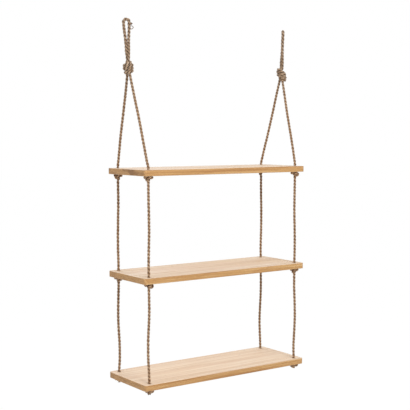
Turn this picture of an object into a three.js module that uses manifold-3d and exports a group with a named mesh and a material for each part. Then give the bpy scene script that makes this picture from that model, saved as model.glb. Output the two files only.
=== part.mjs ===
import * as THREE from "three";
import { mergeVertices } from "three/addons/utils/BufferGeometryUtils.js";
import Module from "manifold-3d";

// A hanging shelf: three boards threaded on two ropes. Each rope is folded in the middle into an eye that goes
// over a hook, tied in a knot below it, and runs down through the front and back holes at its end of the
// boards, with a stopper knot under each board. Rope is modelled in lengths that meet where it bends.
// Millimetres. +X runs along the boards, +Y to the back, +Z up. The origin is midway between the two hooks,
// at the height where the eyes bear on them.

// Boards
const BOARD_LENGTH = 600;
const BOARD_DEPTH = 210;
const BOARD_THICKNESS = 18;
const BOARD_CORNER_RADIUS = 10;
const BOARD_EDGE_EASE = 0.8;
const TIER_PITCH = 310;
const HOLE_END_INSET = 25;
const HOLE_EDGE_INSET = 19;
const HOLE_DIAMETER = 11;

// Rope
const ROPE_DIAMETER = 8;
const FIT_GAP = 0.3;
const BEND_CLEARANCE = 0.6;

// Hanging
const HANG_DROP = 428;
const HOOK_SPLAY = 19;
const EYE_INNER_RADIUS = 4;
const EYE_LENGTH = 115;
const EYE_CLOSES_AT = 72;
const EYE_BEND_RADIUS = 12;
const LEFT_EYE_TURN_DEG = -35;
const RIGHT_EYE_TURN_DEG = -125;
const SWING_LIMIT_DEG = 12;

// Knots
const LOOP_KNOT_WIDTH = 31;
const LOOP_KNOT_HEIGHT = 39;
const KNOT_NECK = 3;
const STOPPER_WIDTH = 28;
const STOPPER_HEIGHT = 16;
const LAST_STOPPER_HEIGHT = 13;
const BEND_BELOW_KNOT = 5;
const BEND_ABOVE_BOARD = 5;
const TAIL_LENGTH = 3;

// Facets
const LENGTH_SIDES = 8;
const KNOT_SIDES = 6;
const STOPPER_STEPS = 30;
const LOOP_STEPS = 44;
const STRETCH_STEPS = 2;
const EYE_TURN_STEPS = 12;
const BALL_SIDES = 8;
const BALL_RINGS = 6;
const CUP_RINGS = 3;
const HOLE_SIDES = 14;
const CORNER_STEPS = 5;
const OVERRUN = 50;

// Derived places
const ROPE_RADIUS = ROPE_DIAMETER / 2;
const CUP_RADIUS = ROPE_RADIUS + BEND_CLEARANCE;
const CUP_RIM = Math.sqrt(CUP_RADIUS ** 2 - ROPE_RADIUS ** 2);
const HOLE_X = BOARD_LENGTH / 2 - HOLE_END_INSET;
const HOLE_Y = BOARD_DEPTH / 2 - HOLE_EDGE_INSET;
const HOOK_X = HOLE_X + HOOK_SPLAY;
const EYE_RADIUS = EYE_INNER_RADIUS + ROPE_RADIUS;
const PAIR_RADIUS = ROPE_RADIUS + FIT_GAP / 2;
const STRAND_DEPTH = ROPE_RADIUS + FIT_GAP;
const SWING_PIVOT_Z = -EYE_INNER_RADIUS;
const LEG_PIVOT_Z = BEND_ABOVE_BOARD - HANG_DROP;
const HANGER_RUN = Math.hypot(SWING_PIVOT_Z - LEG_PIVOT_Z, HOOK_SPLAY);
const HANGER_LEAN = Math.atan2(HOOK_SPLAY, SWING_PIVOT_Z - LEG_PIVOT_Z);
const LINK_RUN = TIER_PITCH - BOARD_THICKNESS - STOPPER_HEIGHT - BEND_BELOW_KNOT - BEND_ABOVE_BOARD;
const UP = new THREE.Vector3(0, 0, 1);

const TIERS = ["top", "middle", "bottom"];
const CORNERS = [
  { name: "front_left", x: -HOLE_X, y: -HOLE_Y },
  { name: "front_right", x: HOLE_X, y: -HOLE_Y },
  { name: "back_left", x: -HOLE_X, y: HOLE_Y },
  { name: "back_right", x: HOLE_X, y: HOLE_Y },
];

// Which way the knot under each corner is turned, in degrees.
const KNOT_TURNS_DEG = {
  top: { front_left: 70, front_right: -30, back_left: 200, back_right: 65 },
  middle: { front_left: -35, front_right: 40, back_left: 10, back_right: 150 },
  bottom: { front_left: 30, front_right: 110, back_left: -60, back_right: 65 },
};

// The way a rope takes through a knot: turn about the knot's axis in degrees, distance from the axis as a share
// of the ring's radius, and drop as a share of the knot's height. In a stopper knot the rope goes down the
// middle, bends out and up, turns round under the board, and passes down again inside this turn. Here the drop
// is counted from the strand that lies under the board.
const STOPPER_WAY_SHARES = [
  [180, 0.2, 0.04],
  [185, 0.26, 0.34],
  [330, 0.22, 0.56],
  [350, 0.62, 0.56],
  [362, 0.93, 0.37],
  [390, 1, 0.125],
  [430, 1, 0.02],
  [475, 1, 0],
  [520, 1, 0],
  [565, 1, 0],
  [610, 1, 0.015],
  [655, 0.93, 0.06],
  [700, 0.6, 0.18],
  [755, 0.56, 0.37],
  [805, 0.4, 0.64],
  [835, 0.14, 0.92],
];

// In a loop knot each of the two ropes goes down into the knot, winds up again round the doubled rope, and goes
// down through the middle to its leg. The left knot is wound evenly to a ball. The right one lies slanting.
const LOOP_WAY_SHARES = {
  left: {
    front: [
      [225, 0.36, 0.14],
      [225, 0.5, 0.4],
      [216, 0.52, 0.57],
      [198, 0.76, 0.67],
      [215, 0.98, 0.67],
      [255, 1.02, 0.63],
      [300, 1.03, 0.58],
      [345, 1.04, 0.53],
      [390, 1.04, 0.48],
      [435, 1.03, 0.43],
      [480, 1.02, 0.38],
      [525, 1.02, 0.33],
      [570, 0.98, 0.28],
      [612, 0.92, 0.22],
      [648, 0.8, 0.15],
      [672, 0.56, 0.17],
      [677, 0.5, 0.3],
      [677, 0.5, 0.62],
      [672, 0.5, 0.82],
    ],
    back: [
      [135, 0.36, 0.14],
      [135, 0.5, 0.42],
      [133, 0.52, 0.68],
      [138, 0.7, 0.83],
      [156, 0.84, 0.88],
      [190, 0.88, 0.88],
      [225, 0.9, 0.86],
      [270, 0.94, 0.82],
      [315, 0.97, 0.77],
      [360, 1, 0.72],
      [405, 1.03, 0.67],
      [450, 1.05, 0.62],
      [495, 1.06, 0.57],
      [540, 1.06, 0.52],
      [585, 1.05, 0.47],
      [630, 1.03, 0.42],
      [675, 1, 0.36],
      [718, 0.92, 0.28],
      [748, 0.74, 0.22],
      [762, 0.52, 0.3],
      [763, 0.5, 0.45],
      [763, 0.5, 0.66],
      [768, 0.5, 0.82],
    ],
  },
  right: {
    front: [
      [215, 0.38, 0.14],
      [225, 0.5, 0.3],
      [215, 0.36, 0.5],
      [150, 0.16, 0.64],
      [30, 0.5, 0.77],
      [0, 0.92, 0.79],
      [-36, 1.2, 0.74],
      [-81, 1.08, 0.63],
      [-126, 0.98, 0.51],
      [-171, 1.04, 0.38],
      [-216, 1.08, 0.3],
      [-261, 1, 0.27],
      [-306, 0.8, 0.27],
      [-345, 0.64, 0.28],
      [-380, 0.54, 0.3],
      [-402, 0.5, 0.36],
      [-408, 0.5, 0.48],
      [-408, 0.5, 0.64],
      [-408, 0.5, 0.82],
    ],
    back: [
      [145, 0.38, 0.14],
      [135, 0.5, 0.4],
      [128, 0.48, 0.58],
      [104, 0.46, 0.74],
      [66, 0.66, 0.88],
      [35, 0.88, 0.95],
      [0, 1.06, 0.97],
      [-36, 1.14, 0.94],
      [-81, 1.04, 0.86],
      [-126, 0.94, 0.74],
      [-171, 0.9, 0.62],
      [-216, 0.93, 0.53],
      [-261, 0.96, 0.49],
      [-306, 1, 0.49],
      [-351, 1.02, 0.5],
      [-396, 1, 0.48],
      [-441, 1, 0.39],
      [-486, 1.02, 0.28],
      [-531, 1.04, 0.17],
      [-576, 0.95, 0.1],
      [-615, 0.82, 0.09],
      [-648, 0.64, 0.14],
      [-668, 0.52, 0.26],
      [-672, 0.5, 0.45],
      [-672, 0.5, 0.64],
      [-672, 0.5, 0.82],
    ],
  },
};

const wasm = await Module();
wasm.setup();

// A closed geometry as a solid that can be joined and cut.
function toSolid(geometry) {
  const bare = geometry.clone();
  bare.deleteAttribute("normal");
  bare.deleteAttribute("uv");
  const merged = mergeVertices(bare);
  return new wasm.Manifold(
    new wasm.Mesh({
      numProp: 3,
      vertProperties: new Float32Array(merged.attributes.position.array),
      triVerts: new Uint32Array(merged.index.array),
    }),
  );
}

function toGeometry(solid) {
  const mesh = solid.getMesh();
  const geometry = new THREE.BufferGeometry();
  const corners = [];
  for (let v = 0; v < mesh.numVert; v += 1) {
    const start = v * mesh.numProp;
    corners.push(mesh.vertProperties[start], mesh.vertProperties[start + 1], mesh.vertProperties[start + 2]);
  }
  geometry.setAttribute("position", new THREE.Float32BufferAttribute(corners, 3));
  geometry.setIndex(Array.from(mesh.triVerts));
  geometry.computeVertexNormals();
  return geometry;
}

const joined = (geometries) => geometries.map(toSolid).reduce((whole, next) => whole.add(next));

// The largest body of a solid, without the specks that a join can leave.
function mainBody(solid) {
  return solid.decompose().reduce((largest, next) => (next.volume() > largest.volume() ? next : largest));
}

// A rope's route, sampled once, so that the stretches in which it is swept share their end sections.
class Route {
  constructor(points, steps) {
    const curve = new THREE.CatmullRomCurve3(points, false, "centripetal");
    const frames = curve.computeFrenetFrames(steps, false);
    this.places = curve.getSpacedPoints(steps);
    this.frames = [frames.tangents, frames.normals, frames.binormals];
  }

  startStraightFrom(point) {
    this.places.unshift(point);
    this.frames.forEach((list) => list.unshift(list[0].clone()));
    return this;
  }
}

// Part of a route, as a curve to extrude along.
class Stretch extends THREE.Curve {
  constructor(route, first, last) {
    super();
    this.places = route.places.slice(first, last + 1);
    this.frames = route.frames.map((list) => list.slice(first, last + 1));
  }

  getSpacedPoints() {
    return this.places;
  }

  computeFrenetFrames() {
    const [tangents, normals, binormals] = this.frames;
    return { tangents, normals, binormals };
  }
}

// Points along an arc about a centre, with both ends.
function arcPoints(x, y, radius, from, to, steps) {
  const points = [];
  for (let i = 0; i <= steps; i += 1) {
    const angle = from + ((to - from) * i) / steps;
    points.push(new THREE.Vector2(x + radius * Math.cos(angle), y + radius * Math.sin(angle)));
  }
  return points;
}

function circlePoints(x, y, radius, sides) {
  return arcPoints(x, y, radius, 0, 2 * Math.PI, sides).slice(0, sides);
}

const ropeSection = (sides) => new THREE.Shape(circlePoints(0, 0, ROPE_RADIUS, sides));

function tube(curve, steps, sides) {
  return new THREE.ExtrudeGeometry(ropeSection(sides), { extrudePath: curve, steps, bevelEnabled: false });
}

// A rope swept along its route in short stretches, which are joined where it crosses itself.
function knottedRope(route) {
  const pieces = [];
  const last = route.places.length - 1;
  for (let first = 0; first < last; first += STRETCH_STEPS) {
    const end = Math.min(first + STRETCH_STEPS, last);
    pieces.push(tube(new Stretch(route, first, end), end - first, KNOT_SIDES));
  }
  return pieces;
}

// The points of a rope's way through a knot whose axis goes down from a given height.
function wayPoints(shares, ringRadius, height, top) {
  return shares.map(([turn, radiusShare, dropShare]) => {
    const angle = THREE.MathUtils.degToRad(turn);
    const radius = radiusShare * ringRadius;
    return new THREE.Vector3(radius * Math.cos(angle), radius * Math.sin(angle), top - dropShare * height);
  });
}

const onAxis = (z) => new THREE.Vector3(0, 0, z);

function cup(z) {
  return toSolid(new THREE.SphereGeometry(CUP_RADIUS, BALL_SIDES + 2, BALL_RINGS + 2)).translate([0, 0, z]);
}

function boardOutline() {
  const x = BOARD_LENGTH / 2 - BOARD_CORNER_RADIUS;
  const y = BOARD_DEPTH / 2 - BOARD_CORNER_RADIUS;
  const quarter = Math.PI / 2;
  const points = [];
  for (const [quarters, signX, signY] of [[0, 1, 1], [1, -1, 1], [2, -1, -1], [3, 1, -1]]) {
    const from = quarters * quarter;
    points.push(...arcPoints(signX * x, signY * y, BOARD_CORNER_RADIUS, from, from + quarter, CORNER_STEPS));
  }
  return new THREE.Shape(points);
}

function boardGeometry() {
  const outline = boardOutline();
  for (const corner of CORNERS) {
    outline.holes.push(new THREE.Path(circlePoints(corner.x, corner.y, HOLE_DIAMETER / 2, HOLE_SIDES)));
  }
  const geometry = new THREE.ExtrudeGeometry(outline, {
    depth: BOARD_THICKNESS - 2 * BOARD_EDGE_EASE,
    bevelEnabled: true,
    bevelSegments: 1,
    bevelSize: BOARD_EDGE_EASE,
    bevelThickness: BOARD_EDGE_EASE,
    bevelOffset: -BOARD_EDGE_EASE,
  });
  return geometry.translate(0, 0, BOARD_EDGE_EASE - BOARD_THICKNESS);
}

// The rope through one hole and its stopper knot, about the hole's axis with the board's underside at zero. It
// is cupped at both ends, where the rope bends, but under the bottom board it ends in a short cut tail.
function stopperGeometry(isLast) {
  const bendAbove = BOARD_THICKNESS + BEND_ABOVE_BOARD;
  const height = isLast ? LAST_STOPPER_HEIGHT : STOPPER_HEIGHT;
  const endBelow = isLast ? TAIL_LENGTH : BEND_BELOW_KNOT;
  const ringRadius = (STOPPER_WIDTH - ROPE_DIAMETER) / 2;
  const points = [
    onAxis(ROPE_RADIUS),
    onAxis(0),
    ...wayPoints(STOPPER_WAY_SHARES, ringRadius, height - STRAND_DEPTH, -STRAND_DEPTH),
    onAxis(-height - endBelow / 2),
    onAxis(-height - endBelow),
  ];
  const route = new Route(points, STOPPER_STEPS).startStraightFrom(onAxis(bendAbove));
  let solid = joined(knottedRope(route)).subtract(cup(bendAbove));
  if (!isLast) {
    solid = solid.subtract(cup(-height - BEND_BELOW_KNOT));
  }
  return toGeometry(mainBody(solid));
}

// The points of an arc of a sphere about the rope's axis, from the axis to the rope's side or back.
function arcProfile(radius, centre, from, to) {
  const points = [];
  for (let i = 0; i <= CUP_RINGS; i += 1) {
    const angle = from + ((to - from) * i) / CUP_RINGS;
    points.push(new THREE.Vector2(Math.max(0, radius * Math.sin(angle)), centre + radius * Math.cos(angle)));
  }
  return points;
}

// A straight length of rope hanging from zero. Each end is domed, cupped or flat.
function ropeLengthGeometry(run, topEnd, bottomEnd) {
  const rim = Math.asin(ROPE_RADIUS / CUP_RADIUS);
  const ends = {
    domed: (z) => arcProfile(ROPE_RADIUS, z, Math.PI, Math.PI / 2),
    cupped: (z) => arcProfile(CUP_RADIUS, z, 0, rim),
    flat: (z) => [new THREE.Vector2(0, z), new THREE.Vector2(ROPE_RADIUS, z)],
  };
  const upside = {
    cupped: (z) => arcProfile(CUP_RADIUS, z, Math.PI - rim, Math.PI),
    flat: (z) => [new THREE.Vector2(ROPE_RADIUS, z), new THREE.Vector2(0, z)],
  };
  const profile = [...ends[bottomEnd](-run), ...upside[topEnd](0)];
  return new THREE.LatheGeometry(profile, LENGTH_SIDES).rotateX(Math.PI / 2);
}

const ballGeometry = () => new THREE.SphereGeometry(ROPE_RADIUS, BALL_SIDES, BALL_RINGS);

// The middle line of the eye's turn over its hook: half a circle in the plane of the local X axis.
class HalfTurn extends THREE.Curve {
  getPoint(t) {
    const angle = Math.PI * t;
    return new THREE.Vector3(EYE_RADIUS * Math.cos(angle), 0, EYE_RADIUS * Math.sin(angle));
  }
}

// A round bar along Y through the swing pivot, whose surface is where the eye bends sideways.
function bendBar(radius) {
  return toSolid(new THREE.CylinderGeometry(radius, radius, OVERRUN, 4 * BALL_SIDES));
}

// The short length of one side of an eye that swings with the shelf and doesn't sway. Its top is cut back both
// ways, so that it clears the turn over the hook as it swings.
function eyeBendGeometry(angle) {
  const rope = new THREE.CylinderGeometry(ROPE_RADIUS, ROPE_RADIUS, EYE_BEND_RADIUS, LENGTH_SIDES);
  rope.rotateX(Math.PI / 2);
  rope.translate(EYE_RADIUS * Math.cos(angle), EYE_RADIUS * Math.sin(angle), -EYE_BEND_RADIUS / 2);
  let solid = toSolid(rope).intersect(bendBar(EYE_BEND_RADIUS));
  for (const side of [-1, 1]) {
    const block = new THREE.BoxGeometry(OVERRUN, OVERRUN, OVERRUN);
    block.translate(0, 0, OVERRUN / 2 - FIT_GAP);
    block.rotateX(side * THREE.MathUtils.degToRad(SWING_LIMIT_DEG));
    solid = solid.subtract(toSolid(block));
  }
  return toGeometry(solid);
}

// One side of an eye, from the bend down to the knot. The two sides close on each other and turn about each
// other until they lie front and back.
function eyeSideGeometry(startAngle, endAngle) {
  const bottom = -(EYE_LENGTH - EYE_INNER_RADIUS - KNOT_NECK - FIT_GAP);
  const closesAt = -(EYE_CLOSES_AT - EYE_INNER_RADIUS);
  const stations = 6;
  const points = [new THREE.Vector3(EYE_RADIUS * Math.cos(startAngle), EYE_RADIUS * Math.sin(startAngle), 0)];
  for (let i = 1; i <= stations; i += 1) {
    const z = (bottom * i) / stations;
    const closed = THREE.MathUtils.smoothstep(z / closesAt, 0, 1);
    const turned = THREE.MathUtils.smoothstep(z / bottom, 0, (stations - 1) / stations);
    const spread = THREE.MathUtils.lerp(EYE_RADIUS, PAIR_RADIUS, closed);
    const angle = THREE.MathUtils.lerp(startAngle, endAngle, turned);
    points.push(new THREE.Vector3(spread * Math.cos(angle), spread * Math.sin(angle), z));
  }
  const curve = new THREE.CatmullRomCurve3(points, false, "centripetal");
  const bar = bendBar(EYE_BEND_RADIUS + FIT_GAP);
  return toGeometry(toSolid(tube(curve, 2 * stations, LENGTH_SIDES)).subtract(bar));
}

// Where a leg leaves the loop knot and which way it runs, about the swing pivot. side is -1 in front.
function legLine(side) {
  const ringRadius = (LOOP_KNOT_WIDTH - ROPE_DIAMETER) / 2;
  const knotBottom = -(EYE_LENGTH + LOOP_KNOT_HEIGHT - EYE_INNER_RADIUS);
  const exit = new THREE.Vector3(0, (side * ringRadius) / 2, knotBottom + ROPE_RADIUS);
  const pivot = new THREE.Vector3(0, side * HOLE_Y, -HANGER_RUN);
  const way = pivot.clone().sub(exit).normalize();
  const end = exit.clone().addScaledVector(way, ROPE_RADIUS + KNOT_NECK);
  return { exit, pivot, way, end };
}

// The knot in the doubled rope at one end of the hanger, about the swing pivot.
function loopKnotGeometry(name) {
  const ringRadius = (LOOP_KNOT_WIDTH - ROPE_DIAMETER) / 2;
  const top = -(EYE_LENGTH - EYE_INNER_RADIUS);
  const pieces = [];
  for (const [side, shares] of [[-1, LOOP_WAY_SHARES[name].front], [1, LOOP_WAY_SHARES[name].back]]) {
    const { exit, end } = legLine(side);
    const points = [
      new THREE.Vector3(0, side * PAIR_RADIUS, top + KNOT_NECK),
      new THREE.Vector3(0, side * PAIR_RADIUS, top),
      ...wayPoints(shares, ringRadius, LOOP_KNOT_HEIGHT, top),
      exit,
      end,
    ];
    pieces.push(...knottedRope(new Route(points, LOOP_STEPS)));
  }
  return toGeometry(mainBody(joined(pieces)));
}

// A leg of the hanger: a straight rope from the loop knot to the bend above its hole.
function placedLeg(name, side) {
  const { pivot, way, end } = legLine(side);
  const start = end.clone().addScaledVector(way, FIT_GAP);
  const leg = ropePiece(name, ropeLengthGeometry(start.distanceTo(pivot), "flat", "domed"));
  leg.position.copy(start);
  leg.quaternion.setFromUnitVectors(UP.clone().negate(), way);
  return leg;
}

function woodMaterial() {
  return new THREE.MeshStandardMaterial({ color: 0xd2a56c, roughness: 0.55, metalness: 0 });
}

function ropeMaterial() {
  return new THREE.MeshStandardMaterial({ color: 0x94714c, roughness: 0.95, metalness: 0 });
}

function ropePiece(name, geometry) {
  const mesh = new THREE.Mesh(geometry, ropeMaterial());
  mesh.name = name;
  return mesh;
}

// A board with the rope through its four holes and the knots under them. Its top face is at zero.
function boardGroup(tier) {
  const group = new THREE.Group();
  const isLast = tier === TIERS.at(-1);
  const board = new THREE.Mesh(boardGeometry(), woodMaterial());
  board.name = `${tier}_board`;
  group.add(board);
  for (const corner of CORNERS) {
    const knot = ropePiece(`${tier}_${corner.name}_knot`, stopperGeometry(isLast));
    knot.position.set(corner.x, corner.y, -BOARD_THICKNESS);
    knot.rotation.z = THREE.MathUtils.degToRad(KNOT_TURNS_DEG[tier][corner.name]);
    group.add(knot);
  }
  return group;
}

// The four ropes that carry a board from the one above, with their bends. The bends above are at zero. The
// front left rope also has a bend at its foot, and the other three feet rest in the rope below them.
function linkGroup(tier) {
  const group = new THREE.Group();
  for (const corner of CORNERS) {
    const isCarrier = corner.name === "front_left";
    const bend = ropePiece(`${tier}_${corner.name}_bend`, ballGeometry());
    const length = ropeLengthGeometry(LINK_RUN, "cupped", isCarrier ? "cupped" : "domed");
    const rope = ropePiece(`${tier}_${corner.name}_rope`, length);
    bend.position.set(corner.x, corner.y, 0);
    rope.position.set(corner.x, corner.y, 0);
    group.add(bend, rope);
    if (isCarrier) {
      const foot = ropePiece(`${tier}_${corner.name}_foot_bend`, ballGeometry());
      foot.position.set(corner.x, corner.y, -LINK_RUN);
      group.add(foot);
    }
  }
  return group;
}

// One end of the hanger, about its swing pivot. side is -1 at the left.
function hangerGroup(name, side, turnDeg) {
  const group = new THREE.Group();
  const frontAngle = THREE.MathUtils.degToRad(turnDeg);
  const frontEnd = -Math.PI / 2;
  const bight = ropePiece(`${name}_eye_turn`, tube(new HalfTurn(), EYE_TURN_STEPS, LENGTH_SIDES));
  bight.rotation.z = frontAngle;
  const leaning = new THREE.Group();
  leaning.rotation.y = side * HANGER_LEAN;
  leaning.add(ropePiece(`${name}_loop_knot`, loopKnotGeometry(name)));
  for (const [half, place, legSide] of [[0, "front", -1], [Math.PI, "back", 1]]) {
    group.add(ropePiece(`${name}_eye_${place}_bend`, eyeBendGeometry(frontAngle + half)));
    leaning.add(ropePiece(`${name}_eye_${place}_side`, eyeSideGeometry(frontAngle + half, frontEnd + half)));
    leaning.add(placedLeg(`${name}_${place}_leg`, legSide));
  }
  group.add(bight, leaning);
  group.position.set(side * HOOK_X, 0, SWING_PIVOT_Z);
  return group;
}

const shelf = new THREE.Group();
shelf.add(hangerGroup("left", -1, LEFT_EYE_TURN_DEG), hangerGroup("right", 1, RIGHT_EYE_TURN_DEG));
TIERS.forEach((tier, level) => {
  const boardTop = -HANG_DROP - level * TIER_PITCH;
  const board = boardGroup(tier);
  board.position.z = boardTop;
  shelf.add(board);
  if (level > 0) {
    const links = linkGroup(tier);
    links.position.z = boardTop + BEND_ABOVE_BOARD + LINK_RUN;
    shelf.add(links);
  }
});

export default shelf;
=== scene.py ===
"""The looks of the hanging rope shelf: laid jute rope, knots, loose fibres, and oiled boards with grain."""

import math

import bmesh
import bpy
import numpy as np
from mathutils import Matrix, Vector


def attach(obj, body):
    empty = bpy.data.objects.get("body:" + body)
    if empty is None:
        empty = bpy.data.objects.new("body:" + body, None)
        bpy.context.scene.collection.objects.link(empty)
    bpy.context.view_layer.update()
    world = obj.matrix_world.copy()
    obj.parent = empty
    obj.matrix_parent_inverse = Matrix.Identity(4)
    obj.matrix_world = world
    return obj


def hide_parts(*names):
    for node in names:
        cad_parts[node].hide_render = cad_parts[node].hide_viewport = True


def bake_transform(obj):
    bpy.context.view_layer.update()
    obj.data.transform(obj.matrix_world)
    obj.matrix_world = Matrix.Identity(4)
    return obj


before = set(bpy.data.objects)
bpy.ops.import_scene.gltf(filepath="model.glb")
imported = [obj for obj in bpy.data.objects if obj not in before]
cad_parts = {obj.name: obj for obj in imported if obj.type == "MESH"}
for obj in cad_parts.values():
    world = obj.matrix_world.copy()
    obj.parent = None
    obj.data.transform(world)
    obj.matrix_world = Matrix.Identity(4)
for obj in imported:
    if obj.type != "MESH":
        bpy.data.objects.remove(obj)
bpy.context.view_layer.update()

# Lengths are in millimetres up to the last step, which makes the meshes. Sizes that the CAD source has too
# keep its names and values, apart from two: the cut tails are shorter than the solids' (TAIL_LENGTH), and the
# two sides of an eye press together (PAIR_RADIUS). How finely the curves are cut is this script's own.
METRES = 0.001
BOARD_LENGTH = 600
BOARD_DEPTH = 210
BOARD_THICKNESS = 18
BOARD_CORNER_RADIUS = 10
TIER_PITCH = 310
HOLE_END_INSET = 25
HOLE_EDGE_INSET = 19
HOLE_DIAMETER = 11
ROPE_DIAMETER = 8
FIT_GAP = 0.3
HANG_DROP = 428
HOOK_SPLAY = 19
EYE_INNER_RADIUS = 4
EYE_LENGTH = 115
EYE_CLOSES_AT = 72
LOOP_KNOT_WIDTH = 31
LOOP_KNOT_HEIGHT = 39
KNOT_NECK = 3
STOPPER_WIDTH = 28
STOPPER_HEIGHT = 16
LAST_STOPPER_HEIGHT = 13
BEND_BELOW_KNOT = 5
BEND_ABOVE_BOARD = 5
TAIL_LENGTH = 1
ROPE_RADIUS = ROPE_DIAMETER / 2
HOLE_RADIUS = HOLE_DIAMETER / 2
HOLE_X = BOARD_LENGTH / 2 - HOLE_END_INSET
HOLE_Y = BOARD_DEPTH / 2 - HOLE_EDGE_INSET
HOOK_X = HOLE_X + HOOK_SPLAY
EYE_RADIUS = EYE_INNER_RADIUS + ROPE_RADIUS
PAIR_RADIUS = 0.95 * ROPE_RADIUS
STRAND_DEPTH = ROPE_RADIUS + FIT_GAP
SWING_PIVOT_Z = -EYE_INNER_RADIUS
LEG_PIVOT_Z = BEND_ABOVE_BOARD - HANG_DROP
HANGER_RUN = math.hypot(SWING_PIVOT_Z - LEG_PIVOT_Z, HOOK_SPLAY)
HANGER_LEAN = math.atan2(HOOK_SPLAY, SWING_PIVOT_Z - LEG_PIVOT_Z)
LOOP_RING = (LOOP_KNOT_WIDTH - ROPE_DIAMETER) / 2
STOPPER_RING = (STOPPER_WIDTH - ROPE_DIAMETER) / 2

# The way an eye faces, and the shares of its sides' length between which they turn about each other.
EYE_TURN_DEG = {"left": -35, "right": -125}
EYE_TURNS_BETWEEN = {"left": (0.62, 1), "right": (0.4, 1)}
# The steps in which a quarter of the eye's turn and its sides are laid out.
EYE_STEP_DEG = 15
EYE_SIDE_STATIONS = 8

# How far the free lengths bow to the side: a leg, a rope to the middle board, and how much more the ropes to
# the bottom board do. A bow is laid out in steps of about BOW_SPACING. The side to which it bows turns on the
# way down, by BOW_TURNS in radians along X and Y, and from level to level by BOW_PHASE_STEP.
LEG_BOW = 0.9
ROPE_BOW = 1.3
ROPE_BOW_GAIN = 1.5
BOW_SPACING = 22
BOW_TURNS = (5.5, 3.4)
BOW_FULLNESS = 0.7
BOW_PHASE_STEP = 2.1

TIERS = ("top", "middle", "bottom")
KNOT_TURNS_DEG = {
    "top": {"front_left": 70, "front_right": -30, "back_left": 200, "back_right": 65},
    "middle": {"front_left": -35, "front_right": 40, "back_left": 10, "back_right": 150},
    "bottom": {"front_left": 30, "front_right": 110, "back_left": -60, "back_right": 65},
}
SIDES = {"left": -1, "right": 1}
FACES = {"front": -1, "back": 1}

# The rope's way down through a knot: turn in degrees, share of the ring's radius, and share of the knot's
# height from its top. Under a board that height is counted from the strand that lies under the board.
STOPPER_WAY = [
    (180, 0.2, 0.04), (185, 0.26, 0.34), (330, 0.22, 0.56), (350, 0.62, 0.56), (362, 0.93, 0.37),
    (390, 1.0, 0.125), (430, 1.0, 0.02), (475, 1.0, 0.0), (520, 1.0, 0.0), (565, 1.0, 0.0),
    (610, 1.0, 0.015), (655, 0.93, 0.06), (700, 0.6, 0.18), (755, 0.56, 0.37), (805, 0.4, 0.64),
    (835, 0.14, 0.92),
]
LOOP_WAYS = {
    ("left", "front"): [
        (225, 0.36, 0.14), (225, 0.5, 0.4), (216, 0.52, 0.57), (198, 0.76, 0.67), (215, 0.98, 0.67),
        (255, 1.02, 0.63), (300, 1.03, 0.58), (345, 1.04, 0.53), (390, 1.04, 0.48), (435, 1.03, 0.43),
        (480, 1.02, 0.38), (525, 1.02, 0.33), (570, 0.98, 0.28), (612, 0.92, 0.22), (648, 0.8, 0.15),
        (672, 0.56, 0.17), (677, 0.5, 0.3), (677, 0.5, 0.62), (672, 0.5, 0.82),
    ],
    ("left", "back"): [
        (135, 0.36, 0.14), (135, 0.5, 0.42), (133, 0.52, 0.68), (138, 0.7, 0.83), (156, 0.84, 0.88),
        (190, 0.88, 0.88), (225, 0.9, 0.86), (270, 0.94, 0.82), (315, 0.97, 0.77), (360, 1, 0.72),
        (405, 1.03, 0.67), (450, 1.05, 0.62), (495, 1.06, 0.57), (540, 1.06, 0.52), (585, 1.05, 0.47),
        (630, 1.03, 0.42), (675, 1, 0.36), (718, 0.92, 0.28), (748, 0.74, 0.22), (762, 0.52, 0.3),
        (763, 0.5, 0.45), (763, 0.5, 0.66), (768, 0.5, 0.82),
    ],
    ("right", "front"): [
        (215, 0.38, 0.14), (225, 0.5, 0.3), (215, 0.36, 0.5), (150, 0.16, 0.64), (30, 0.5, 0.77),
        (0, 0.92, 0.79), (-36, 1.2, 0.74), (-81, 1.08, 0.63), (-126, 0.98, 0.51), (-171, 1.04, 0.38),
        (-216, 1.08, 0.3), (-261, 1, 0.27), (-306, 0.8, 0.27), (-345, 0.64, 0.28), (-380, 0.54, 0.3),
        (-402, 0.5, 0.36), (-408, 0.5, 0.48), (-408, 0.5, 0.64), (-408, 0.5, 0.82),
    ],
    ("right", "back"): [
        (145, 0.38, 0.14), (135, 0.5, 0.4), (128, 0.48, 0.58), (104, 0.46, 0.74), (66, 0.66, 0.88),
        (35, 0.88, 0.95), (0, 1.06, 0.97), (-36, 1.14, 0.94), (-81, 1.04, 0.86), (-126, 0.94, 0.74),
        (-171, 0.9, 0.62), (-216, 0.93, 0.53), (-261, 0.96, 0.49), (-306, 1, 0.49), (-351, 1.02, 0.5),
        (-396, 1, 0.48), (-441, 1, 0.39), (-486, 1.02, 0.28), (-531, 1.04, 0.17), (-576, 0.95, 0.1),
        (-615, 0.82, 0.09), (-648, 0.64, 0.14), (-668, 0.52, 0.26), (-672, 0.5, 0.45), (-672, 0.5, 0.64),
        (-672, 0.5, 0.82),
    ],
}

# The rope's build: two strands laid round each other, pressed together. A strand has four low lobes, which
# turn about it, and its pattern is shifted from the other strand's. Each rope has its own seed.
STRANDS = 2
STRAND_RADIUS = 0.64 * ROPE_RADIUS
STRAND_OFFSET = 0.42 * ROPE_RADIUS
STRAND_SIDES = 14
STRAND_PHASE = 7.3
STRAND_MARK_STEP = 0.37
LAY_LENGTH = 21
LOBES = 4
LOBE_HEIGHT = 0.03
LOBE_LAY = 2.6
ROPE_SEEDS = {"left": 3.1, "right": 8.4}

# How far the strands stray from an even lay, and over what wave: the turn in radians, the others as shares.
LAY_DRIFT = (0.7, 90)
LAY_UNEVEN = (0.16, 21)
OFFSET_UNEVEN = (0.09, 17)
RADIUS_UNEVEN = (0.1, 9)

# Where the rope is thicker, by what share, and over what length it swells.
EYE_SWELL = 0.12
EYE_SWELLS_OVER = 14
KNOT_SWELL = 0.1
KNOT_SWELLS_OVER = 9

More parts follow.
